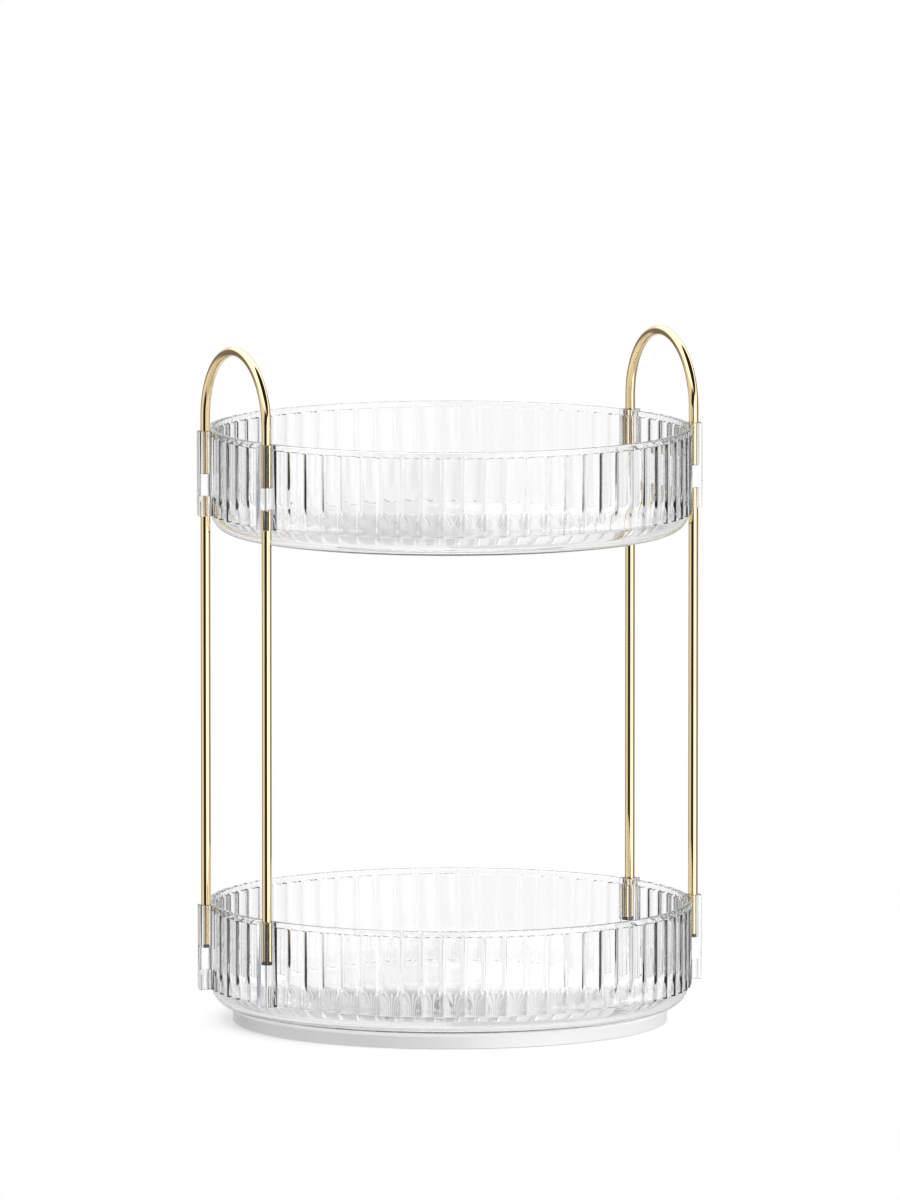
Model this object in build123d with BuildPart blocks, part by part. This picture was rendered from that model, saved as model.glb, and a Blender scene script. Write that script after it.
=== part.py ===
from build123d import *

import os
from math import asin, degrees, radians, sin, sqrt

# Two-tier turning organizer: two clear fluted trays, one above the other on gold wire, on a turntable base.
# Millimetres, +Z up. The origin is on the turning axis, on the surface that the foot pads stand on.
# The two arched handles stand at the -X and +X sides.

# Clear trays, both from one mould
TRAY_RADIUS = 111.2  # outside of the rim strip and of the edges between the flutes
TRAY_HEIGHT = 48.2
TRAY_WALL = 2.5
TRAY_FLOOR = 2.5
TRAY_CORNER_RADIUS = 10.0  # outer corner between wall and floor
RIM_ROUNDING = 0.6
RIM_STRIP_HEIGHT = 3.0  # plain strip above the flutes
BOWL_HEIGHT = 9.0  # plain part below the fluted band and the posts
BAND_STEP = 0.4  # floors of the flutes outside the plain wall below the band
FLUTE_COUNT = 72
FLUTE_DEPTH = 0.8
FLUTE_EDGE = 0.5  # width left between two flutes
TIER_PITCH = 218.8  # from the lower tray up to the upper one

# Wire arches and rods, and the socket posts that hold them
WIRE_DIAMETER = 4.5
WIRE_CHAMFER = 0.4
LEG_STANDOFF = 2.2  # wire axis outside the rim strip
HOOP_WIDTH = 65.4  # between the two wires of one side
ARCH_STAND = 6.7  # straight wire between the rim and the bend
SOCKET_DEPTH = 19.7  # in the top of a post
FOOT_SOCKET_DEPTH = 9.5  # in the underside of a post
SOCKET_CLEARANCE = 0.1
POST_WALL = 1.3
POST_ROUNDING = 1.2
ROD_SEAT_THICKNESS = 1.2  # rubber disc under each rod

# Turntable base, a shell open below
BASE_RADIUS = 100.0
BASE_SKIN = 1.8
BASE_CHAMFER = 0.8
BASE_RIB_COUNT = 12
BASE_RIB_THICKNESS = 1.5
BASE_RIB_RECESS = 0.6  # rib edges above the lower edge of the skirt
PAD_COUNT = 6
PAD_RADIUS = 6.5
PAD_THICKNESS = 1.6
PAD_ROUNDING = 0.4
PAD_PROUD = 0.4  # pads below the skirt
PAD_INSET = 12.0  # pad centres inside the outside of the skirt
PAD_BOSS_WALL = 1.2

# Ball race between the base and the lower tray
BALL_COUNT = 18
BALL_DIAMETER = 5.0
BALL_PLAY = 0.05
TRACK_INSET = 28.0  # ball circle inside the outside of the skirt
TRACK_WIDTH = 3.2  # flat floor of the groove that the balls run in
TRACK_DEPTH = 0.4  # groove in the tray, and in the floor of the base's channel
TRACK_FLOOR = 2.2  # base material under the groove
RUNNING_GAP = 0.9  # between the base and the lower tray
CAGE_THICKNESS = 1.6
CAGE_WALL = 1.8
POCKET_PLAY = 0.15
CHANNEL_PLAY = 0.5  # between the cage and each side of the channel

# Pivot in the middle of the base
PIVOT_RADIUS = 7.0
PIVOT_PLAY = 0.1
PIVOT_END_PLAY = 0.1
WASHER_LAP = 3.5  # washer beyond the pivot
WASHER_THICKNESS = 0.8
WASHER_HOLE_PLAY = 0.2
HUB_MARGIN = 3.5  # hub beyond the washer
SCREW_RADIUS = 1.75
SCREW_LENGTH = 5.0
SCREW_FIT = 0.05
SCREW_POINT = 0.6
PILOT_SPARE = 0.5  # pilot hole past the end of the screw
SCREW_HEAD_RADIUS = 3.5
SCREW_HEAD_HEIGHT = 1.7
SCREW_HEAD_ROUNDING = 0.6
SCREW_HEAD_RECESS = 0.2  # head above the lower edge of the skirt
DRIVE_SLOT_LENGTH = 4.0
DRIVE_SLOT_WIDTH = 0.9
DRIVE_SLOT_DEPTH = 0.9

# Heights of the bearing stack, from the table up
base_bottom = PAD_PROUD
ball_radius = BALL_DIAMETER / 2
ball_reach = ball_radius + BALL_PLAY
ball_height = base_bottom + TRACK_FLOOR + ball_reach
lower_bottom = ball_height + ball_reach - TRACK_DEPTH
upper_bottom = lower_bottom + TIER_PITCH
base_top = lower_bottom - RUNNING_GAP
plate_underside = base_top - BASE_SKIN
track_floor = base_bottom + TRACK_FLOOR
channel_floor = track_floor + TRACK_DEPTH

# Radii in the base
track_radius = BASE_RADIUS - TRACK_INSET
track_inside = track_radius - TRACK_WIDTH / 2
track_outside = track_radius + TRACK_WIDTH / 2
cage_half_width = ball_radius + POCKET_PLAY + CAGE_WALL
channel_half_width = cage_half_width + CHANNEL_PLAY
channel_inside = track_radius - channel_half_width
channel_outside = track_radius + channel_half_width
skirt_inside = BASE_RADIUS - BASE_SKIN
pad_circle_radius = BASE_RADIUS - PAD_INSET
washer_radius = PIVOT_RADIUS + WASHER_LAP
hub_radius = washer_radius + HUB_MARGIN

# Heights of the pivot stack
screw_head_bottom = base_bottom + SCREW_HEAD_RECESS
washer_bottom = screw_head_bottom + SCREW_HEAD_HEIGHT
pivot_end = washer_bottom + WASHER_THICKNESS
hub_underside = pivot_end + PIVOT_END_PLAY

# Radii of the trays; the wall follows the flutes, so it is equally thick all over
strip_inside = TRAY_RADIUS - TRAY_WALL
flute_floor_radius = TRAY_RADIUS - FLUTE_DEPTH
bowl_radius = flute_floor_radius - BAND_STEP
bowl_inside = bowl_radius - TRAY_WALL
mid_wall_radius = bowl_radius - TRAY_WALL / 2

# Flutes: round hollows from edge to edge, about axes outside the tray
flute_half_width = TRAY_RADIUS * sin(radians(180 / FLUTE_COUNT)) - FLUTE_EDGE / 2
flute_sagitta = sqrt(TRAY_RADIUS**2 - flute_half_width**2) - flute_floor_radius
flute_radius = (flute_half_width**2 + flute_sagitta**2) / (2 * flute_sagitta)
flute_circle_radius = flute_floor_radius + flute_radius

# Wire places: each side's two wires stand in one plane across X
wire_radius = WIRE_DIAMETER / 2
socket_radius = wire_radius + SOCKET_CLEARANCE
post_half_width = socket_radius + POST_WALL
leg_circle_radius = TRAY_RADIUS + LEG_STANDOFF
post_outside = leg_circle_radius + post_half_width
half_hoop = HOOP_WIDTH / 2
hoop_offset = sqrt(leg_circle_radius**2 - half_hoop**2)
leg_angle = degrees(asin(half_hoop / leg_circle_radius))
leg_angles = (leg_angle, 180 - leg_angle, 180 + leg_angle, 360 - leg_angle)

SIDES = {"left": -1, "right": 1}
ENDS = {"front": -1, "rear": 1}
BOTTOM_UP = (Align.CENTER, Align.CENTER, Align.MIN)

os.makedirs("parts", exist_ok=True)


def tray_moulding(bottom):
    """The moulding that both trays share: bowl, fluted band, rim strip, and posts with two sockets each."""
    rim = bottom + TRAY_HEIGHT
    strip_bottom = rim - RIM_STRIP_HEIGHT
    band_bottom = bottom + BOWL_HEIGHT
    hollow_bottom = band_bottom + TRAY_WALL
    floor_top = bottom + TRAY_FLOOR
    with BuildPart() as moulding:
        with BuildSketch(Plane.XZ) as section:
            with BuildLine():
                Polyline(
                    (0, bottom),
                    (bowl_radius, bottom),
                    (bowl_radius, strip_bottom),
                    (TRAY_RADIUS, strip_bottom),
                    (TRAY_RADIUS, rim),
                    (strip_inside, rim),
                    (strip_inside, strip_bottom),
                    (bowl_inside, strip_bottom),
                    (bowl_inside, floor_top),
                    (0, floor_top),
                    close=True,
                )
            make_face()
            corners = section.vertices()
            fillet(corners.sort_by_distance((bowl_radius, bottom))[0], TRAY_CORNER_RADIUS)
            fillet(corners.sort_by_distance((bowl_inside, floor_top))[0], TRAY_CORNER_RADIUS - TRAY_WALL)
            fillet(corners.sort_by_distance((strip_inside, rim))[0], RIM_ROUNDING)
            fillet(corners.sort_by_distance((TRAY_RADIUS, rim))[0], RIM_ROUNDING)
        revolve(axis=Axis.Z)
        with BuildSketch(Plane.XY.offset(band_bottom)):
            Circle(TRAY_RADIUS)
            with PolarLocations(flute_circle_radius, FLUTE_COUNT):
                Circle(flute_radius, mode=Mode.SUBTRACT)
            Circle(mid_wall_radius, mode=Mode.SUBTRACT)
        extrude(amount=strip_bottom - band_bottom)
        with BuildSketch(Plane.XY.offset(band_bottom)) as posts:
            for leg in leg_angles:
                with PolarLocations(mid_wall_radius, 1, start_angle=leg):
                    Rectangle(
                        post_outside - mid_wall_radius,
                        2 * post_half_width,
                        align=(Align.MIN, Align.CENTER),
                    )
            outer_corners = posts.vertices().sort_by_distance((0, 0))[-2 * len(leg_angles) :]
            fillet(outer_corners, POST_ROUNDING)
        extrude(amount=rim - band_bottom)
        with BuildSketch(Plane.XY.offset(hollow_bottom)):
            Circle(strip_inside)
            with PolarLocations(flute_circle_radius, FLUTE_COUNT):
                Circle(flute_radius + TRAY_WALL, mode=Mode.SUBTRACT)
        extrude(amount=strip_bottom - hollow_bottom, mode=Mode.SUBTRACT)
        with Locations((0, 0, rim)):
            with GridLocations(2 * hoop_offset, 2 * half_hoop, 2, 2):
                Hole(socket_radius, SOCKET_DEPTH)
        with Locations((0, 0, band_bottom)):
            with GridLocations(2 * hoop_offset, 2 * half_hoop, 2, 2):
                Hole(socket_radius, FOOT_SOCKET_DEPTH)
    return moulding.part


# Base: top plate with a channel for the balls, hub with the pivot bore, skirt, stiffening ribs and pad bosses
half_skin = BASE_SKIN / 2
inner_rib_ends = (hub_radius - half_skin, channel_inside - half_skin)
outer_rib_ends = (channel_outside + half_skin, skirt_inside + half_skin)
rib_bottom = base_bottom + BASE_RIB_RECESS
rib_height = plate_underside + half_skin - rib_bottom
half_rib_step = 180 / BASE_RIB_COUNT
with BuildPart() as base_plate:
    with BuildSketch(Plane.XZ):
        with BuildLine():
            Polyline(
                (PIVOT_RADIUS + PIVOT_PLAY, base_top),
                (channel_inside, base_top),
                (channel_inside, channel_floor),
                (track_inside, channel_floor),
                (track_inside, track_floor),
                (track_outside, track_floor),
                (track_outside, channel_floor),
                (channel_outside, channel_floor),
                (channel_outside, base_top),
                (BASE_RADIUS, base_top),
                (BASE_RADIUS, base_bottom),
                (skirt_inside, base_bottom),
                (skirt_inside, plate_underside),
                (channel_outside + BASE_SKIN, plate_underside),
                (channel_outside + BASE_SKIN, base_bottom),
                (channel_inside - BASE_SKIN, base_bottom),
                (channel_inside - BASE_SKIN, plate_underside),
                (hub_radius, plate_underside),
                (hub_radius, hub_underside),
                (PIVOT_RADIUS + PIVOT_PLAY, hub_underside),
                close=True,
            )
        make_face()
    revolve(axis=Axis.Z)
    skirt_edges = base_plate.edges().filter_by(GeomType.CIRCLE).group_by(SortBy.RADIUS)[-1]
    chamfer(skirt_edges.sort_by(Axis.Z)[-1], BASE_CHAMFER)
    for near, far in (inner_rib_ends, outer_rib_ends):
        with Locations((0, 0, rib_bottom)):
            with PolarLocations((near + far) / 2, BASE_RIB_COUNT, start_angle=half_rib_step):
                Box(far - near, BASE_RIB_THICKNESS, rib_height, align=BOTTOM_UP)
    with Locations((0, 0, PAD_THICKNESS)):
        with PolarLocations(pad_circle_radius, PAD_COUNT):
            Cylinder(
                PAD_RADIUS + PAD_BOSS_WALL,
                plate_underside + half_skin - PAD_THICKNESS,
                align=BOTTOM_UP,
            )
base_plate.part.label = "base_plate"
export_step(base_plate.part, "parts/base_plate.step")

# Rubber pads, stuck to the pad bosses
for number in range(1, PAD_COUNT + 1):
    with BuildPart() as foot_pad:
        with PolarLocations(pad_circle_radius, 1, start_angle=360 * (number - 1) / PAD_COUNT):
            Cylinder(PAD_RADIUS, PAD_THICKNESS, align=BOTTOM_UP)
        fillet(foot_pad.edges().filter_by(GeomType.CIRCLE).sort_by(Axis.Z)[0], PAD_ROUNDING)
    foot_pad.part.label = f"foot_pad_{number}"
    export_step(foot_pad.part, f"parts/foot_pad_{number}.step")

# Cage ring and its balls, loose in the channel
with BuildPart() as ball_cage:
    with BuildSketch(Plane.XY.offset(ball_height - CAGE_THICKNESS / 2)):
        Circle(track_radius + cage_half_width)
        Circle(track_radius - cage_half_width, mode=Mode.SUBTRACT)
        with PolarLocations(track_radius, BALL_COUNT):
            Circle(ball_radius + POCKET_PLAY, mode=Mode.SUBTRACT)
    extrude(amount=CAGE_THICKNESS)
ball_cage.part.label = "ball_cage"
export_step(ball_cage.part, "parts/ball_cage.step")

for number in range(1, BALL_COUNT + 1):
    with BuildPart() as bearing_ball:
        with Locations((0, 0, ball_height)):
            with PolarLocations(track_radius, 1, start_angle=360 * (number - 1) / BALL_COUNT):
                Sphere(ball_radius)
    bearing_ball.part.label = f"bearing_ball_{number:02d}"
    export_step(bearing_ball.part, f"parts/bearing_ball_{number:02d}.step")

# Lower tray: the shared moulding with a pivot, a pilot hole and a ball track underneath
lower_moulding = tray_moulding(lower_bottom)
pilot_depth = SCREW_LENGTH - WASHER_THICKNESS + PILOT_SPARE
with BuildPart() as lower_tray:
    add(lower_moulding)
    with Locations((0, 0, pivot_end)):
        Cylinder(PIVOT_RADIUS, lower_bottom + TRAY_FLOOR / 2 - pivot_end, align=BOTTOM_UP)
        Hole(SCREW_RADIUS + SCREW_FIT, pilot_depth)
    with BuildSketch(Plane.XY.offset(lower_bottom)):
        Circle(track_outside)
        Circle(track_inside, mode=Mode.SUBTRACT)
    extrude(amount=TRACK_DEPTH, mode=Mode.SUBTRACT)
lower_tray.part.label = "lower_tray"
export_step(lower_tray.part, "parts/lower_tray.step")

# Washer and screw that hold the pivot in the hub
with BuildPart() as pivot_washer:
    with BuildSketch(Plane.XY.offset(washer_bottom)):
        Circle(washer_radius)
        Circle(SCREW_RADIUS + WASHER_HOLE_PLAY, mode=Mode.SUBTRACT)
    extrude(amount=WASHER_THICKNESS)
pivot_washer.part.label = "pivot_washer"
export_step(pivot_washer.part, "parts/pivot_washer.step")

with BuildPart() as pivot_screw:
    with Locations((0, 0, screw_head_bottom)):
        Cylinder(SCREW_HEAD_RADIUS, SCREW_HEAD_HEIGHT, align=BOTTOM_UP)
    fillet(pivot_screw.edges().sort_by(Axis.Z)[0], SCREW_HEAD_ROUNDING)
    with Locations((0, 0, washer_bottom)):
        Cylinder(SCREW_RADIUS, SCREW_LENGTH, align=BOTTOM_UP)
    chamfer(pivot_screw.edges().sort_by(Axis.Z)[-1], SCREW_POINT)
    with BuildSketch(Plane.XY.offset(screw_head_bottom)):
        Rectangle(DRIVE_SLOT_LENGTH, DRIVE_SLOT_WIDTH)
        Rectangle(DRIVE_SLOT_WIDTH, DRIVE_SLOT_LENGTH)
    extrude(amount=DRIVE_SLOT_DEPTH, mode=Mode.SUBTRACT)
pivot_screw.part.label = "pivot_screw"
export_step(pivot_screw.part, "parts/pivot_screw.step")

# Upper tray: the shared moulding as it is
upper_moulding = tray_moulding(upper_bottom)
with BuildPart() as upper_tray:
    add(upper_moulding)
upper_tray.part.label = "upper_tray"
export_step(upper_tray.part, "parts/upper_tray.step")

# Rods, from a rubber seat in a lower post's top socket to the roof of an upper post's foot socket
seat_bottom = lower_bottom + TRAY_HEIGHT - SOCKET_DEPTH
rod_bottom = seat_bottom + ROD_SEAT_THICKNESS
rod_top = upper_bottom + BOWL_HEIGHT + FOOT_SOCKET_DEPTH
for side, side_sign in SIDES.items():
    for end, end_sign in ENDS.items():
        place = (side_sign * hoop_offset, end_sign * half_hoop)
        with BuildPart() as rod_seat:
            with Locations((*place, seat_bottom)):
                Cylinder(wire_radius, ROD_SEAT_THICKNESS, align=BOTTOM_UP)
        rod_seat.part.label = f"rod_seat_{side}_{end}"
        export_step(rod_seat.part, f"parts/rod_seat_{side}_{end}.step")
        with BuildPart() as rod:
            with Locations((*place, rod_bottom)):
                Cylinder(wire_radius, rod_top - rod_bottom, align=BOTTOM_UP)
            chamfer(rod.edges().filter_by(GeomType.CIRCLE), WIRE_CHAMFER)
        rod.part.label = f"rod_{side}_{end}"
        export_step(rod.part, f"parts/rod_{side}_{end}.step")

# Arches, from the floors of two top sockets up and round in a half circle
upper_rim = upper_bottom + TRAY_HEIGHT
arch_foot = upper_rim - SOCKET_DEPTH
bend_height = upper_rim + ARCH_STAND
for side, side_sign in SIDES.items():
    with BuildPart() as arch:
        with BuildLine(Plane.YZ.offset(side_sign * hoop_offset)) as path:
            Line((-half_hoop, arch_foot), (-half_hoop, bend_height))
            ThreePointArc(
                (-half_hoop, bend_height),
                (0, bend_height + half_hoop),
                (half_hoop, bend_height),
            )
            Line((half_hoop, bend_height), (half_hoop, arch_foot))
        with BuildSketch(Plane.XY.offset(arch_foot)):
            with Locations((side_sign * hoop_offset, -half_hoop)):
                Circle(wire_radius)
        sweep(path=path.line)
        chamfer(arch.edges().filter_by(GeomType.CIRCLE).group_by(Axis.Z)[0], WIRE_CHAMFER)
    arch.part.label = f"arch_{side}"
    export_step(arch.part, f"parts/arch_{side}.step")
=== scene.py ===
from math import acos, asin, atan2, cos, hypot, pi, radians, sin, sqrt

import bmesh
import bpy
from mathutils import Matrix, Vector


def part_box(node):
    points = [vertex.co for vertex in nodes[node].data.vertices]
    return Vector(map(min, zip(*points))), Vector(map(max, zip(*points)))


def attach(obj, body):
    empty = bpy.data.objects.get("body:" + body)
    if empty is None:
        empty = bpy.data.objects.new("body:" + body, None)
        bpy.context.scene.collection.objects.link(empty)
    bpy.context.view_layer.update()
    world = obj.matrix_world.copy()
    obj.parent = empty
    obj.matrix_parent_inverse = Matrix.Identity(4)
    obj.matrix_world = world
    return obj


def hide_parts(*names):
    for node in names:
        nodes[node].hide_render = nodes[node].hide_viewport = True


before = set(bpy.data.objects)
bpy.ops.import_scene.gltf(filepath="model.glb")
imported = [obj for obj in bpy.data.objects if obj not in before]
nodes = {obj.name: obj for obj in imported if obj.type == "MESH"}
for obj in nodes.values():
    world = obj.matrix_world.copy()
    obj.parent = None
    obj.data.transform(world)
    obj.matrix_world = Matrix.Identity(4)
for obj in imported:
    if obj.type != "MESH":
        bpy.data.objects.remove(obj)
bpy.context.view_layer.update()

# Base plate: a low white disc with a ball channel, moulded in one piece of gloss polystyrene.
# It stands on rubber pads, open below, and carries the whole carousel on its ball race.
WHITE = (0.90, 0.90, 0.905, 1.0)
WHITE_SHADE = (0.84, 0.845, 0.85, 1.0)
WHITE_IOR = 1.55
GRAIN_SHARE = 0.35
SKIN_RELIEF_HEIGHT = 0.0004


def add_node(tree, kind, inputs=(), **settings):
    """A new node with its settings, and its inputs set to values or linked to other nodes' outputs."""
    node = tree.nodes.new(kind)
    for name, value in settings.items():
        setattr(node, name, value)
    for name, value in dict(inputs).items():
        if isinstance(value, bpy.types.NodeSocket):
            tree.links.new(value, node.inputs[name])
        else:
            node.inputs[name].default_value = value
    return node


def new_group(name, inputs, outputs):
    """An empty shader node group with float or vector sockets, and its input and output nodes."""
    group = bpy.data.node_groups.new(name, "ShaderNodeTree")
    for socket, value in inputs.items():
        kind = "NodeSocketVector" if value is None else "NodeSocketFloat"
        made = group.interface.new_socket(socket, in_out="INPUT", socket_type=kind)
        if value is not None:
            made.default_value = value
    for socket in outputs:
        group.interface.new_socket(socket, in_out="OUTPUT", socket_type="NodeSocketFloat")
    return group, group.nodes.new("NodeGroupInput"), group.nodes.new("NodeGroupOutput")


def moulded_skin():
    """Group for moulded plastic and rubber: cloudy flow marks, uneven gloss and a fine orange-peel relief."""
    group, start, end = new_group(
        "moulded_skin",
        {"Place": None, "Flow Scale": 20.0, "Grain Scale": 400.0, "Gloss": 0.2, "Gloss Spread": 0.1},
        ("Cloud", "Roughness", "Height"),
    )
    sockets = start.outputs
    flow = add_node(
        group,
        "ShaderNodeTexNoise",
        {"Vector": sockets["Place"], "Scale": sockets["Flow Scale"], "Detail": 3.0, "Distortion": 0.6},
    )
    grain = add_node(
        group,
        "ShaderNodeTexNoise",
        {"Vector": sockets["Place"], "Scale": sockets["Grain Scale"], "Detail": 2.0},
    )
    spread = add_node(
        group,
        "ShaderNodeMath",
        {0: flow.outputs["Fac"], 1: sockets["Gloss Spread"], 2: sockets["Gloss"]},
        operation="MULTIPLY_ADD",
    )
    height = add_node(
        group,
        "ShaderNodeMix",
        {"Factor": GRAIN_SHARE, "A": flow.outputs["Fac"], "B": grain.outputs["Fac"]},
    )
    group.links.new(flow.outputs["Fac"], end.inputs["Cloud"])
    group.links.new(spread.outputs["Value"], end.inputs["Roughness"])
    group.links.new(height.outputs["Result"], end.inputs["Height"])
    return group


MOULDED_SKIN = moulded_skin()


def new_material(name):
    """An empty node material, its tree, its Principled shader and its object coordinates."""
    material = bpy.data.materials.new(name)
    material.use_nodes = True
    tree = material.node_tree
    shader = tree.nodes["Principled BSDF"]
    place = tree.nodes.new("ShaderNodeTexCoord").outputs["Object"]
    return material, tree, shader, place


def mixed_colour(tree, mask, first, second):
    """Two colours, each a value or another node's output, mixed by a mask."""
    mix = add_node(tree, "ShaderNodeMix", {"Factor": mask}, data_type="RGBA")
    ends = [socket for socket in mix.inputs if socket.type == "RGBA"]
    for socket, colour in zip(ends, (first, second)):
        if isinstance(colour, bpy.types.NodeSocket):
            tree.links.new(colour, socket)
        else:
            socket.default_value = colour
    return next(socket for socket in mix.outputs if socket.type == "RGBA")


def moulded_plastic(name, light, shade, flow_scale, grain_scale, gloss, gloss_spread, relief):
    """Moulded material between two close colours, with the shared skin's gloss and relief."""
    material, tree, shader, place = new_material(name)
    skin = add_node(
        tree,
        "ShaderNodeGroup",
        {
            "Place": place,
            "Flow Scale": flow_scale,
            "Grain Scale": grain_scale,
            "Gloss": gloss,
            "Gloss Spread": gloss_spread,
        },
        node_tree=MOULDED_SKIN,
    )
    colour = mixed_colour(tree, skin.outputs["Cloud"], light, shade)
    bump = add_node(
        tree,
        "ShaderNodeBump",
        {"Height": skin.outputs["Height"], "Strength": relief, "Distance": SKIN_RELIEF_HEIGHT},
    )
    tree.links.new(colour, shader.inputs["Base Color"])
    tree.links.new(skin.outputs["Roughness"], shader.inputs["Roughness"])
    tree.links.new(bump.outputs["Normal"], shader.inputs["Normal"])
    return material


def dress(material, *names):
    """Gives the named nodes this material."""
    for name in names:
        slots = nodes[name].data.materials
        slots.clear()
        slots.append(material)


white_plastic = moulded_plastic(
    "white_plastic",
    WHITE,
    WHITE_SHADE,
    flow_scale=18.0,
    grain_scale=900.0,
    gloss=0.22,
    gloss_spread=0.08,
    relief=0.05,
)
white_plastic.node_tree.nodes["Principled BSDF"].inputs["IOR"].default_value = WHITE_IOR
dress(white_plastic, "base_plate")

# Foot pads: six discs die-cut from a sheet of black rubber with a faint grain.
# Each is stuck in a shallow boss under the base and keeps it from sliding on a table.
RUBBER = (0.035, 0.035, 0.036, 1.0)
RUBBER_SHADE = (0.055, 0.054, 0.053, 1.0)
PAD_COUNT = 6
pad_rubber = moulded_plastic(
    "pad_rubber",
    RUBBER,
    RUBBER_SHADE,
    flow_scale=160.0,
    grain_scale=2600.0,
    gloss=0.72,
    gloss_spread=0.15,
    relief=0.4,
)
dress(pad_rubber, *[f"foot_pad_{number + 1}" for number in range(PAD_COUNT)])

# Ball cage: a flat ring of natural polypropylene, moulded with a pocket for each ball.
# It lies loose in the base's channel, keeps the balls apart and goes round at half the trays' speed.
CAGE = (0.74, 0.75, 0.75, 1.0)
CAGE_SHADE = (0.66, 0.67, 0.68, 1.0)
cage_plastic = moulded_plastic(
    "cage_plastic",
    CAGE,
    CAGE_SHADE,
    flow_scale=60.0,
    grain_scale=1500.0,
    gloss=0.42,
    gloss_spread=0.15,
    relief=0.15,
)
dress(cage_plastic, "ball_cage")

# Bearing balls: eighteen steel balls, ground and polished.
# They sit loose in the cage's pockets and roll between the base and the lower tray.
BALL_STEEL = (0.66, 0.67, 0.69, 1.0)
BALL_STAIN = (0.52, 0.52, 0.53, 1.0)
BALL_COUNT = 18
STAIN_SCALE = 35.0
METAL_RELIEF_HEIGHT = 0.0001
ALL_WAYS = (1.0, 1.0, 1.0)


def metal(name, light, shade, gloss, gloss_spread, stretch, scale, relief):
    """Metal between two close colours, with fine marks drawn out along the axes where stretch is small."""
    material, tree, shader, place = new_material(name)
    drawn = add_node(tree, "ShaderNodeMapping", {"Vector": place, "Scale": stretch})
    marks = add_node(
        tree,
        "ShaderNodeTexNoise",
        {"Vector": drawn.outputs["Vector"], "Scale": scale, "Detail": 4.0},
    )
    cloud = add_node(tree, "ShaderNodeTexNoise", {"Vector": place, "Scale": STAIN_SCALE, "Detail": 2.0})
    colour = mixed_colour(tree, cloud.outputs["Fac"], light, shade)
    rough = add_node(
        tree,
        "ShaderNodeMath",
        {0: marks.outputs["Fac"], 1: gloss_spread, 2: gloss},
        operation="MULTIPLY_ADD",
    )
    bump = add_node(
        tree,
        "ShaderNodeBump",
        {"Height": marks.outputs["Fac"], "Strength": relief, "Distance": METAL_RELIEF_HEIGHT},
    )
    shader.inputs["Metallic"].default_value = 1.0
    tree.links.new(colour, shader.inputs["Base Color"])
    tree.links.new(rough.outputs["Value"], shader.inputs["Roughness"])
    tree.links.new(bump.outputs["Normal"], shader.inputs["Normal"])
    return material


ball_steel = metal(
    "ball_steel",
    BALL_STEEL,
    BALL_STAIN,
    gloss=0.05,
    gloss_spread=0.08,
    stretch=ALL_WAYS,
    scale=700.0,
    relief=0.03,
)
dress(ball_steel, *[f"bearing_ball_{number + 1:02d}" for number in range(BALL_COUNT)])

# Trays: two clear polystyrene mouldings with a fluted band, a plain rim strip and four socket posts.
# Both come from one mould; the lower one has a pivot and a ball track underneath.
TRAY_RADIUS = 0.1112
TRAY_HEIGHT = 0.0482
TRAY_WALL = 0.0025
TRAY_FLOOR = 0.0025
CORNER_RADIUS = 0.010
RIM_ROUNDING = 0.0006
STRIP_HEIGHT = 0.003
BOWL_HEIGHT = 0.009
BAND_STEP = 0.0004
FLUTE_COUNT = 72
FLUTE_DEPTH = 0.0008
FLUTE_EDGE = 0.0005
FLUTE_END = 0.0003
FLUTE_FADE = 0.010
FLUTE_STEPS = 12
FADE_STEPS = 8
CORNER_STEPS = 16
INNER_CORNER_STEPS = 14
RIM_STEPS = 8
BAND_ROUNDING = 0.00025
BAND_ROUNDING_STEPS = 3
FLAT_MARGIN = 0.0005  # ring of flat floor beside a rounding, which keeps the smooth shading off the flat
LEG_CIRCLE = 0.1134
HOOP_WIDTH = 0.0654
SOCKET_RADIUS = 0.00235
SOCKET_DEPTH = 0.0197
FOOT_SOCKET_DEPTH = 0.0095
POST_WALL = 0.0013
POST_ROUNDING = 0.0012
POST_ROUNDING_STEPS = 8
POST_EDGE_ROUNDING = 0.00025
POST_EDGE_STEPS = 3
POST_SINK = 0.00005
SOCKET_STEPS = 48
PIVOT_RADIUS = 0.007
PILOT_RADIUS = 0.0018
PILOT_DEPTH = 0.0047
TRACK_RADIUS = 0.072
TRACK_WIDTH = 0.0032
TRACK_DEPTH = 0.0004
MERGE_DISTANCE = 1e-6
SHARP_ANGLE = radians(28)
CLEAR = (0.985, 0.985, 0.985, 1.0)
CLEAR_SHADE = (0.97, 0.972, 0.975, 1.0)
CLEAR_SHADOW = (0.97, 0.97, 0.97, 1.0)
CLEAR_IOR = 1.53

strip_inside = TRAY_RADIUS - TRAY_WALL
flute_floor = TRAY_RADIUS - FLUTE_DEPTH
bowl_radius = flute_floor - BAND_STEP
bowl_inside = bowl_radius - TRAY_WALL
half_pitch = pi / FLUTE_COUNT
flute_half_width = TRAY_RADIUS * sin(half_pitch) - FLUTE_EDGE / 2
flute_sagitta = sqrt(TRAY_RADIUS**2 - flute_half_width**2) - flute_floor
flute_radius = (flute_half_width**2 + flute_sagitta**2) / (2 * flute_sagitta)
flute_circle = flute_floor + flute_radius
flute_half_angle = asin(flute_half_width / TRAY_RADIUS)
post_half_width = SOCKET_RADIUS + POST_WALL
leg_angle = asin(HOOP_WIDTH / 2 / LEG_CIRCLE)
leg_angles = (leg_angle, pi - leg_angle, pi + leg_angle, -leg_angle)


def draw_chain(bm, places, points=()):
    """Adds a chain of edges through these radii and heights in the XZ plane, after the points given."""
    points = [*points, *[bm.verts.new((radius, 0.0, height)) for radius, height in places]]
    for ends in zip(points, points[1:]):
        bm.edges.new(ends)
    return points


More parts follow.
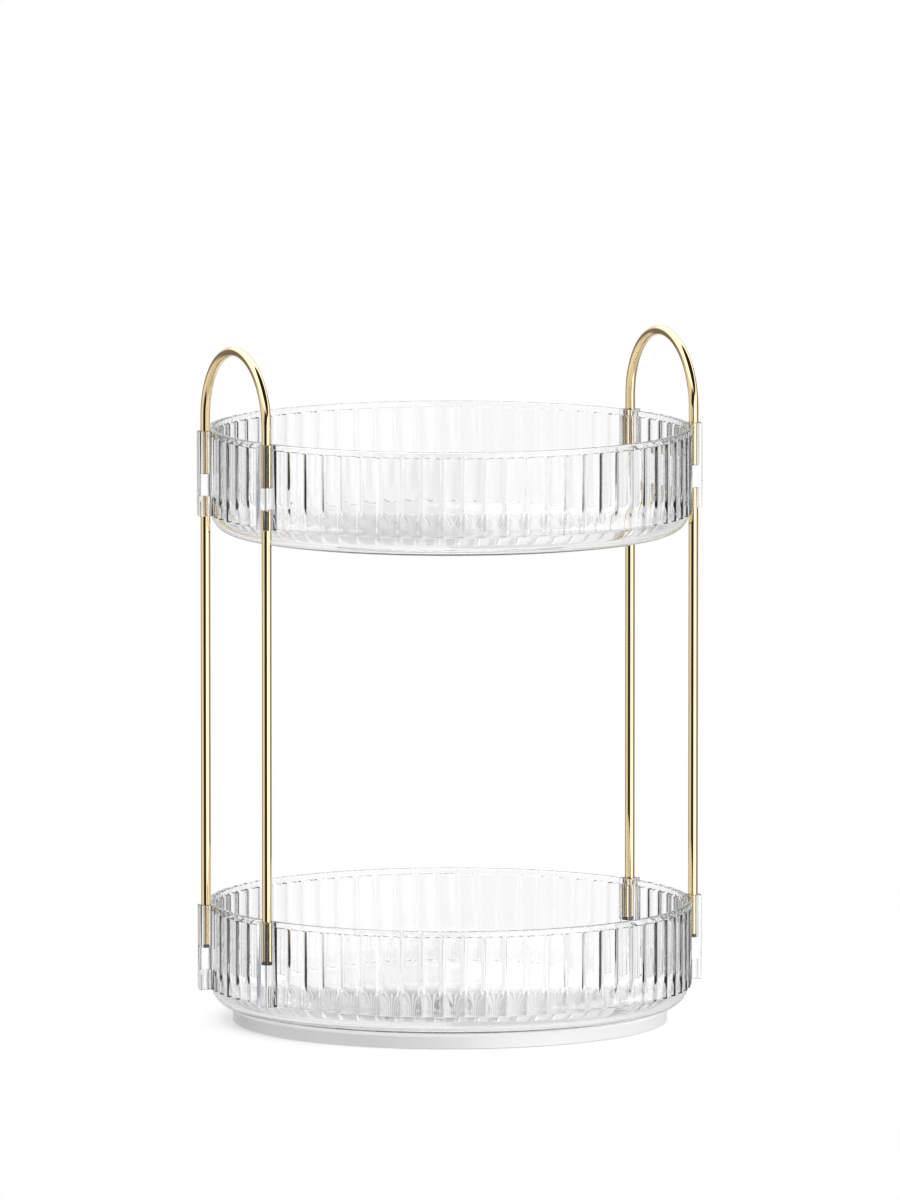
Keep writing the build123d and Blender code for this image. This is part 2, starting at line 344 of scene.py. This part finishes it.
def tray_section(bm, bottom, pivoted):
    """Half of a tray's section as a chain of edges in the XZ plane, with its corners rounded."""
    rim = bottom + TRAY_HEIGHT
    band_bottom = bottom + BOWL_HEIGHT
    hollow_bottom = band_bottom + TRAY_WALL
    strip_bottom = rim - STRIP_HEIGHT
    floor_top = bottom + TRAY_FLOOR
    flat_end = bowl_radius - CORNER_RADIUS
    underside = [(0.0, bottom)]
    if pivoted:
        pivot_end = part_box("lower_tray")[0].z
        underside = [
            (0.0, pivot_end + PILOT_DEPTH),
            (PILOT_RADIUS, pivot_end + PILOT_DEPTH),
            (PILOT_RADIUS, pivot_end),
            (PIVOT_RADIUS, pivot_end),
            (PIVOT_RADIUS, bottom),
            (TRACK_RADIUS - TRACK_WIDTH / 2, bottom),
            (TRACK_RADIUS - TRACK_WIDTH / 2, bottom + TRACK_DEPTH),
            (TRACK_RADIUS + TRACK_WIDTH / 2, bottom + TRACK_DEPTH),
            (TRACK_RADIUS + TRACK_WIDTH / 2, bottom),
        ]
    underside += [(flat_end - FLAT_MARGIN, bottom), (flat_end, bottom)]
    corner = bmesh.ops.spin(
        bm,
        geom=draw_chain(bm, underside)[-1:],
        cent=(flat_end, 0.0, bottom + CORNER_RADIUS),
        axis=(0, -1, 0),
        angle=acos(1 - BOWL_HEIGHT / CORNER_RADIUS),
        steps=CORNER_STEPS,
    )
    corner_end = [item for item in corner["geom_last"] if isinstance(item, bmesh.types.BMVert)]
    fade = [hollow_bottom + FLUTE_FADE * step / FADE_STEPS for step in range(FADE_STEPS, 0, -1)]
    wall = [
        (TRAY_RADIUS, band_bottom),
        (TRAY_RADIUS, strip_bottom),
        (TRAY_RADIUS, strip_bottom + FLUTE_END),
        (TRAY_RADIUS, rim),
        (strip_inside, rim),
        (strip_inside, strip_bottom + FLUTE_END),
        (strip_inside, strip_bottom),
        *[(strip_inside, height) for height in fade],
        (bowl_inside, hollow_bottom),
        (bowl_inside, floor_top),
        (flat_end - FLAT_MARGIN, floor_top),
        (0.0, floor_top),
    ]
    points = draw_chain(bm, wall, corner_end)
    roundings = (
        (points[1], BAND_ROUNDING, BAND_ROUNDING_STEPS),
        (points[4], RIM_ROUNDING, RIM_STEPS),
        (points[5], RIM_ROUNDING, RIM_STEPS),
        (points[-3], CORNER_RADIUS - TRAY_WALL, INNER_CORNER_STEPS),
    )
    for point, radius, steps in roundings:
        bmesh.ops.bevel(
            bm,
            geom=[point],
            offset=radius,
            affect="VERTICES",
            segments=steps,
            profile=0.5,
            material=-1,
        )


def flute_sector(bm, bottom):
    """Draws a sector's band in to one flute, a round hollow between edges, that fades at its foot inside."""
    hollow_bottom = bottom + BOWL_HEIGHT + TRAY_WALL
    flute_top = bottom + TRAY_HEIGHT - STRIP_HEIGHT + FLUTE_END / 2
    step = 2 * half_pitch / FLUTE_STEPS
    spread = flute_half_angle / (half_pitch - step)
    for vert in bm.verts:
        radius = hypot(vert.co.x, vert.co.y)
        angle = atan2(vert.co.y, vert.co.x)
        if abs(angle) < half_pitch - step / 2:
            angle *= spread
        across = flute_circle * sin(angle)
        along = flute_circle * cos(angle)
        if vert.co.z < flute_top and radius > flute_floor:
            flute = along - sqrt(flute_radius**2 - across**2)
            radius -= max(TRAY_RADIUS - flute, 0.0)
        elif hollow_bottom < vert.co.z < flute_top and radius < bowl_radius:
            flute = min(along - sqrt((flute_radius + TRAY_WALL) ** 2 - across**2), strip_inside)
            share = min((vert.co.z - hollow_bottom) / FLUTE_FADE, 1.0)
            share *= share * (3 - 2 * share)
            radius = bowl_inside + share * (flute - bowl_inside)
        vert.co.x = radius * cos(angle)
        vert.co.y = radius * sin(angle)


def mesh_object(name, bm):
    """A new object with this bmesh's shape, in the scene."""
    mesh = bpy.data.meshes.new(name)
    bm.to_mesh(mesh)
    bm.free()
    made = bpy.data.objects.new(name, mesh)
    bpy.context.scene.collection.objects.link(made)
    return made


def post_blocks(bottom):
    """The four socket posts as blocks that reach into the wall, with rounded outer edges."""
    bm = bmesh.new()
    low = bottom + BOWL_HEIGHT + POST_SINK
    high = bottom + TRAY_HEIGHT - POST_SINK
    near = bowl_radius - TRAY_WALL / 2
    far = LEG_CIRCLE + post_half_width
    place = Matrix.Translation(((near + far) / 2, 0.0, (low + high) / 2))
    size = Matrix.Diagonal((far - near, 2 * post_half_width, high - low, 1.0))
    bmesh.ops.create_cube(bm, size=1.0, matrix=place @ size)
    shaped = {"affect": "EDGES", "profile": 0.5, "material": -1}
    upright = [edge for edge in bm.edges if abs(edge.verts[0].co.z - edge.verts[1].co.z) > TRAY_WALL]
    outer = [edge for edge in upright if edge.verts[0].co.x > LEG_CIRCLE]
    bmesh.ops.bevel(bm, geom=outer, offset=POST_ROUNDING, segments=POST_ROUNDING_STEPS, **shaped)
    level = [edge for edge in bm.edges if abs(edge.verts[0].co.z - edge.verts[1].co.z) < POST_SINK]
    ends = [edge for edge in level if max(vert.co.x for vert in edge.verts) > LEG_CIRCLE]
    bmesh.ops.bevel(bm, geom=ends, offset=POST_EDGE_ROUNDING, segments=POST_EDGE_STEPS, **shaped)
    block = bm.verts[:] + bm.edges[:] + bm.faces[:]
    for angle in leg_angles[1:]:
        copy = bmesh.ops.duplicate(bm, geom=block)["geom"]
        corners = [item for item in copy if isinstance(item, bmesh.types.BMVert)]
        bmesh.ops.rotate(bm, cent=(0, 0, 0), matrix=Matrix.Rotation(angle, 3, "Z"), verts=corners)
    first = [item for item in block if isinstance(item, bmesh.types.BMVert)]
    bmesh.ops.rotate(bm, cent=(0, 0, 0), matrix=Matrix.Rotation(leg_angles[0], 3, "Z"), verts=first)
    return mesh_object("posts", bm)


def socket_bores(bottom):
    """The eight round bores of the posts: four from above for the wires, four from below."""
    bm = bmesh.new()
    rim = bottom + TRAY_HEIGHT
    foot = bottom + BOWL_HEIGHT
    for low, high in ((rim - SOCKET_DEPTH, rim + TRAY_WALL), (foot - TRAY_WALL, foot + FOOT_SOCKET_DEPTH)):
        for angle in leg_angles:
            place = Vector((LEG_CIRCLE * cos(angle), LEG_CIRCLE * sin(angle), (low + high) / 2))
            bmesh.ops.create_cone(
                bm,
                cap_ends=True,
                segments=SOCKET_STEPS,
                radius1=SOCKET_RADIUS,
                radius2=SOCKET_RADIUS,
                depth=high - low,
                matrix=Matrix.Translation(place),
            )
    return mesh_object("bores", bm)


def clear_tray(name, bottom, pivoted):
    """One tray: the section spun round, its band fluted, the posts joined on and their sockets bored."""
    bm = bmesh.new()
    tray_section(bm, bottom, pivoted)
    bmesh.ops.rotate(bm, cent=(0, 0, 0), matrix=Matrix.Rotation(-half_pitch, 3, "Z"), verts=bm.verts)
    round_axis = {"cent": (0, 0, 0), "axis": (0, 0, 1), "dvec": (0, 0, 0)}
    section = bm.verts[:] + bm.edges[:]
    bmesh.ops.spin(bm, geom=section, angle=2 * half_pitch, steps=FLUTE_STEPS, **round_axis)
    flute_sector(bm, bottom)
    sector = bm.verts[:] + bm.edges[:] + bm.faces[:]
    others = FLUTE_COUNT - 1
    rest_of_turn = 2 * half_pitch * others
    bmesh.ops.spin(bm, geom=sector, angle=rest_of_turn, steps=others, use_duplicate=True, **round_axis)
    bmesh.ops.remove_doubles(bm, verts=bm.verts, dist=MERGE_DISTANCE)
    bmesh.ops.recalc_face_normals(bm, faces=bm.faces)
    tray = mesh_object(name, bm)
    posts = post_blocks(bottom)
    bores = socket_bores(bottom)
    for other, operation in ((posts, "UNION"), (bores, "DIFFERENCE")):
        cut = tray.modifiers.new(other.name, "BOOLEAN")
        cut.object = other
        cut.operation = operation
        cut.solver = "MANIFOLD"
    shaped = tray.evaluated_get(bpy.context.evaluated_depsgraph_get())
    mesh = bpy.data.meshes.new_from_object(shaped)
    tray.modifiers.clear()
    tray.data = mesh
    for helper in (posts, bores):
        bpy.data.objects.remove(helper)
    mesh.materials.clear()
    mesh.shade_smooth()
    mesh.set_sharp_from_angle(angle=SHARP_ANGLE)
    return tray


def clear_plastic():
    """Clear polystyrene: faint flow waves in the gloss, and light that passes on through its shadow."""
    material = moulded_plastic(
        "clear_plastic",
        CLEAR,
        CLEAR_SHADE,
        flow_scale=26.0,
        grain_scale=220.0,
        gloss=0.0,
        gloss_spread=0.03,
        relief=0.03,
    )
    tree = material.node_tree
    shader = tree.nodes["Principled BSDF"]
    shader.inputs["Transmission Weight"].default_value = 1.0
    shader.inputs["IOR"].default_value = CLEAR_IOR
    passing = add_node(tree, "ShaderNodeBsdfTransparent", {"Color": CLEAR_SHADOW})
    path = tree.nodes.new("ShaderNodeLightPath")
    mixed = add_node(
        tree,
        "ShaderNodeMixShader",
        {0: path.outputs["Is Shadow Ray"], 1: shader.outputs["BSDF"], 2: passing.outputs["BSDF"]},
    )
    tree.links.new(mixed.outputs["Shader"], tree.nodes["Material Output"].inputs["Surface"])
    return material


tray_plastic = clear_plastic()
for name, pivoted in (("lower_tray", True), ("upper_tray", False)):
    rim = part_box(name)[1].z
    tray = clear_tray(f"{name}_moulding", rim - TRAY_HEIGHT, pivoted)
    tray.data.materials.append(tray_plastic)
    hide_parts(name)
    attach(tray, "carousel")

# Pivot screw and washer: pressed steel with zinc plating, a little dull.
# The screw is driven up into the lower tray's pivot and the washer under its head holds the base on.
ZINC = (0.62, 0.63, 0.65, 1.0)
ZINC_SHADE = (0.48, 0.49, 0.51, 1.0)
screw_steel = metal(
    "screw_steel",
    ZINC,
    ZINC_SHADE,
    gloss=0.24,
    gloss_spread=0.2,
    stretch=ALL_WAYS,
    scale=900.0,
    relief=0.15,
)
dress(screw_steel, "pivot_screw", "pivot_washer")

# Rod seats: rubber discs, punched from sheet, one under each rod, at the bottom of the lower posts' sockets.
# They show through the clear walls. Their near-black brown and low specular are painted shade for the dark
# shade at the foot of each rod.
SEAT_PAINTED_SHADE = (0.012, 0.008, 0.006, 1.0)
SEAT_PAINTED_SHADE_MOTTLE = (0.022, 0.015, 0.012, 1.0)
SEAT_SPECULAR = 0.2
SIDES_AND_ENDS = [f"{side}_{end}" for side in ("left", "right") for end in ("front", "rear")]
seat_rubber = moulded_plastic(
    "seat_rubber",
    SEAT_PAINTED_SHADE,
    SEAT_PAINTED_SHADE_MOTTLE,
    flow_scale=300.0,
    grain_scale=3000.0,
    gloss=0.6,
    gloss_spread=0.2,
    relief=0.3,
)
seat_rubber.node_tree.nodes["Principled BSDF"].inputs["Specular IOR Level"].default_value = SEAT_SPECULAR
dress(seat_rubber, *[f"rod_seat_{place}" for place in SIDES_AND_ENDS])

# Rods and arches: drawn steel wire, cut or bent to shape, polished and plated bright gold.
# Four straight rods join the trays; two arches stand on the upper one as handles. All push into sockets.
GOLD = (0.93, 0.74, 0.44, 1.0)
GOLD_SHADE = (0.86, 0.66, 0.37, 1.0)
ALONG_WIRE = (1.0, 1.0, 0.03)
gold_wire = metal(
    "gold_wire",
    GOLD,
    GOLD_SHADE,
    gloss=0.04,
    gloss_spread=0.03,
    stretch=ALONG_WIRE,
    scale=1500.0,
    relief=0.004,
)
dress(gold_wire, *[f"rod_{place}" for place in SIDES_AND_ENDS], "arch_left", "arch_right")

# Studio: a pale paper floor that fades into white, lit by three soft lamps.
# The surroundings that clear plastic and plating pick up are bright to the right, with dark flags beside
# the camera and high on the right; what is seen straight through the plastic stays close to white.
CAMERA_AZIMUTH = radians(-25.884)
CAMERA_ELEVATION = radians(6.753)
CAMERA_DISTANCE = 8.6267
CAMERA_TARGET = Vector((0.0, 0.0, 0.19413))
FOCAL_PIXELS = 18789.3
IMAGE_HEIGHT = 1200
SENSOR = 36.0
CAMERA_REACH = 100.0
FLOOR_RADIUS = 0.5
FLOOR_DROP = 0.00005
FLOOR_STEPS = 96
FLOOR_FADE_START = 0.16
FLOOR_FADE_END = 0.42
FLOOR_PAPER = (0.82, 0.82, 0.82, 1.0)
PAPER_ROUGHNESS = 0.9
PAPER_SPECULAR = 0.1
PAPER_GLOW = 0.24
PURE_WHITE = (1.0, 1.0, 1.0, 1.0)

to_camera = Vector((sin(CAMERA_AZIMUTH), -cos(CAMERA_AZIMUTH), 0.0))
to_right = Vector((cos(CAMERA_AZIMUTH), sin(CAMERA_AZIMUTH), 0.0))

bm = bmesh.new()
bmesh.ops.create_circle(bm, cap_ends=True, cap_tris=True, segments=FLOOR_STEPS, radius=FLOOR_RADIUS)
bmesh.ops.translate(bm, vec=(0, 0, -FLOOR_DROP), verts=bm.verts)
floor = mesh_object("floor", bm)
material, tree, shader, place = new_material("floor_paper")
shader.inputs["Base Color"].default_value = FLOOR_PAPER
shader.inputs["Roughness"].default_value = PAPER_ROUGHNESS
shader.inputs["Specular IOR Level"].default_value = PAPER_SPECULAR
distance = add_node(tree, "ShaderNodeVectorMath", {0: place}, operation="LENGTH")
fade = add_node(
    tree,
    "ShaderNodeMapRange",
    {"Value": distance.outputs["Value"], "From Min": FLOOR_FADE_START, "From Max": FLOOR_FADE_END},
    interpolation_type="SMOOTHSTEP",
)
glow = add_node(tree, "ShaderNodeEmission", {"Color": PURE_WHITE, "Strength": PAPER_GLOW})
lifted = add_node(tree, "ShaderNodeAddShader", {0: shader.outputs["BSDF"], 1: glow.outputs["Emission"]})
path = tree.nodes.new("ShaderNodeLightPath")
seen = add_node(
    tree,
    "ShaderNodeMath",
    {0: path.outputs["Is Camera Ray"], 1: path.outputs["Is Transmission Ray"]},
    operation="MAXIMUM",
)
looked_at = add_node(
    tree,
    "ShaderNodeMixShader",
    {0: seen.outputs["Value"], 1: shader.outputs["BSDF"], 2: lifted.outputs["Shader"]},
)
# The floor takes the shadow, but reflections and diffuse light pass through it, and it is clear from below.
underneath = tree.nodes.new("ShaderNodeNewGeometry").outputs["Backfacing"]
unseen = add_node(
    tree,
    "ShaderNodeMath",
    {0: path.outputs["Glossy Depth"], 1: underneath},
    operation="MAXIMUM",
)
hidden = add_node(
    tree,
    "ShaderNodeMath",
    {0: fade.outputs["Result"], 1: unseen.outputs["Value"]},
    operation="MAXIMUM",
    use_clamp=True,
)
clear = tree.nodes.new("ShaderNodeBsdfTransparent")
faded = add_node(
    tree,
    "ShaderNodeMixShader",
    {0: hidden.outputs["Value"], 1: looked_at.outputs["Shader"], 2: clear.outputs["BSDF"]},
)
tree.links.new(faded.outputs["Shader"], tree.nodes["Material Output"].inputs["Surface"])
floor.data.materials.append(material)
floor.visible_diffuse = False

world = bpy.data.worlds.new("studio")
bpy.context.scene.world = world
world.use_nodes = True
tree = world.node_tree
direction = tree.nodes.new("ShaderNodeTexCoord").outputs["Generated"]
ahead = add_node(tree, "ShaderNodeVectorMath", {0: direction, 1: to_camera}, operation="DOT_PRODUCT")
aside = add_node(tree, "ShaderNodeVectorMath", {0: direction, 1: to_right}, operation="DOT_PRODUCT")
bearing = add_node(
    tree,
    "ShaderNodeMath",
    {0: aside.outputs["Value"], 1: ahead.outputs["Value"]},
    operation="ARCTAN2",
)
FLAG_SLANT = -2.0  # radians of bearing that the bands of light lean over, from the horizon to straight up
height = add_node(tree, "ShaderNodeSeparateXYZ", {"Vector": direction})
raised = add_node(tree, "ShaderNodeMath", {0: height.outputs["Z"], 1: 0.0}, operation="MAXIMUM")
slanted = add_node(
    tree,
    "ShaderNodeMath",
    {0: raised.outputs["Value"], 1: FLAG_SLANT, 2: bearing.outputs["Value"]},
    operation="MULTIPLY_ADD",
)
turn = add_node(
    tree,
    "ShaderNodeMapRange",
    {"Value": slanted.outputs["Value"], "From Min": -pi, "From Max": pi},
)
NEUTRAL = (1.0, 1.0, 1.0)
COOL = (0.94, 1.0, 1.08)
# Each row of these two tables is a bearing from the camera's side in degrees, a level of light and its tint.
MIRRORED = (
    (-180, 0.45, NEUTRAL),
    (-162, 0.30, NEUTRAL),
    (-140, 0.07, NEUTRAL),
    (-122, 0.12, NEUTRAL),
    (-108, 0.42, NEUTRAL),
    (-64, 0.47, NEUTRAL),
    (-52, 0.16, NEUTRAL),
    (-43, 0.010, NEUTRAL),
    (3, 0.008, NEUTRAL),
    (14, 0.80, NEUTRAL),
    (24, 1.0, NEUTRAL),
    (62, 1.0, NEUTRAL),
    (78, 0.24, COOL),
    (100, 0.15, COOL),
    (132, 0.15, COOL),
    (152, 0.24, NEUTRAL),
)
SEEN_THROUGH = (
    (-180, 0.50, NEUTRAL),
    (-150, 0.50, NEUTRAL),
    (-130, 0.38, NEUTRAL),
    (-106, 0.38, NEUTRAL),
    (-88, 0.48, NEUTRAL),
    (-60, 0.48, NEUTRAL),
    (-44, 0.43, NEUTRAL),
    (0, 0.43, NEUTRAL),
    (12, 0.50, NEUTRAL),
    (76, 0.50, NEUTRAL),
    (96, 0.38, NEUTRAL),
    (126, 0.38, NEUTRAL),
    (146, 0.50, NEUTRAL),
)
TABLE_LIGHT = (0.35, 0.35, 0.35, 1.0)
CEILING_LIGHT = (0.95, 0.95, 0.95, 1.0)
FLAG_LIGHT = (0.01, 0.01, 0.01, 1.0)
SURROUNDINGS_STRENGTH = 2.0
DIFFUSE_STRENGTH = 0.62
TOTAL_REFLECTION_SHARE = 0.2  # of the mirrored levels, in rays that only the plastic itself has turned back


def banded(bands):
    """A band of light levels round the horizon, by bearing from the camera's side."""
    levels = add_node(tree, "ShaderNodeValToRGB", {"Fac": turn.outputs["Result"]})
    stops = levels.color_ramp.elements
    for azimuth, level, tint in bands:
        stop = (azimuth + 180) / 360
        element = stops[0] if azimuth == -180 else stops.new(stop)
        element.position = stop
        element.color = (*[level * part for part in tint], 1.0)
    stops[-1].color = stops[0].color
    return levels.outputs["Color"]


def toward(azimuth, elevation):
    """The direction at this bearing from the camera's side, and this many degrees up."""
    side = to_camera * cos(radians(azimuth)) + to_right * sin(radians(azimuth))
    return side * cos(radians(elevation)) + Vector((0, 0, 1)) * sin(radians(elevation))


def spot(azimuth, elevation, outer, inner):
    """A mask that is full within the inner angle of a direction, and none outside the outer angle."""
    facing = add_node(
        tree,
        "ShaderNodeVectorMath",
        {0: direction, 1: toward(azimuth, elevation)},
        operation="DOT_PRODUCT",
    )
    mask = add_node(
        tree,
        "ShaderNodeMapRange",
        {
            "Value": facing.outputs["Value"],
            "From Min": cos(radians(outer)),
            "From Max": cos(radians(inner)),
        },
        interpolation_type="SMOOTHSTEP",
    )
    return mask.outputs["Result"]


below = spot(azimuth=0, elevation=-90, outer=60, inner=40)
overhead = spot(azimuth=0, elevation=90, outer=76, inner=60)
high_right = spot(azimuth=52, elevation=52, outer=44, inner=35)
table = mixed_colour(tree, below, banded(MIRRORED), TABLE_LIGHT)
ceiling = mixed_colour(tree, overhead, table, CEILING_LIGHT)
room = mixed_colour(tree, high_right, ceiling, FLAG_LIGHT)

path = tree.nodes.new("ShaderNodeLightPath")
metal_share = add_node(
    tree,
    "ShaderNodeMapRange",
    {
        "Value": path.outputs["Transmission Depth"],
        "From Min": 2.0,
        "From Max": 4.0,
        "To Min": TOTAL_REFLECTION_SHARE,
    },
)
inside = add_node(
    tree,
    "ShaderNodeMath",
    {0: path.outputs["Glossy Depth"], 1: metal_share.outputs["Result"]},
    operation="MINIMUM",
)
reflected = add_node(
    tree,
    "ShaderNodeMath",
    {0: path.outputs["Is Reflection Ray"], 1: inside.outputs["Value"]},
    operation="MAXIMUM",
)
fill = add_node(tree, "ShaderNodeBackground", {"Color": PURE_WHITE, "Strength": DIFFUSE_STRENGTH})
mirrored = add_node(tree, "ShaderNodeBackground", {"Color": room, "Strength": SURROUNDINGS_STRENGTH})
seen_through = add_node(
    tree,
    "ShaderNodeBackground",
    {"Color": banded(SEEN_THROUGH), "Strength": SURROUNDINGS_STRENGTH},
)
white = add_node(tree, "ShaderNodeBackground", {"Color": PURE_WHITE, "Strength": 1.0})
bounced = add_node(
    tree,
    "ShaderNodeMixShader",
    {0: reflected.outputs["Value"], 1: seen_through.outputs["Background"], 2: mirrored.outputs["Background"]},
)
lit = add_node(
    tree,
    "ShaderNodeMixShader",
    {0: path.outputs["Is Diffuse Ray"], 1: bounced.outputs["Shader"], 2: fill.outputs["Background"]},
)
backdrop = add_node(
    tree,
    "ShaderNodeMixShader",
    {0: path.outputs["Is Camera Ray"], 1: lit.outputs["Shader"], 2: white.outputs["Background"]},
)
tree.links.new(backdrop.outputs["Shader"], tree.nodes["World Output"].inputs["Surface"])


def softbox(name, azimuth, elevation, distance, size, power):
    """A square area lamp at a bearing from the camera's side, aimed at the middle of the object."""
    lamp = bpy.data.lights.new(name, "AREA")
    lamp.size = size
    lamp.energy = power
    placed = bpy.data.objects.new(name, lamp)
    away = toward(azimuth, elevation)
    placed.location = CAMERA_TARGET + away * distance
    placed.rotation_euler = away.to_track_quat("Z", "Y").to_euler()
    placed.visible_glossy = False
    placed.visible_transmission = False
    bpy.context.scene.collection.objects.link(placed)


softbox("key_lamp", azimuth=52, elevation=26, distance=2.4, size=1.8, power=36)
softbox("fill_lamp", azimuth=-95, elevation=30, distance=2.4, size=1.4, power=2.5)
softbox("top_lamp", azimuth=170, elevation=80, distance=2.2, size=1.6, power=10)

lens = bpy.data.cameras.new("photo_camera")
lens.sensor_width = SENSOR
lens.lens = FOCAL_PIXELS * SENSOR / IMAGE_HEIGHT
lens.clip_end = CAMERA_REACH
camera = bpy.data.objects.new("photo_camera", lens)
back = to_camera * cos(CAMERA_ELEVATION) + Vector((0, 0, 1)) * sin(CAMERA_ELEVATION)
camera.location = CAMERA_TARGET + back * CAMERA_DISTANCE
camera.rotation_euler = back.to_track_quat("Z", "Y").to_euler()
bpy.context.scene.collection.objects.link(camera)
bpy.context.scene.camera = camera
bpy.context.scene.view_settings.view_transform = "Standard"
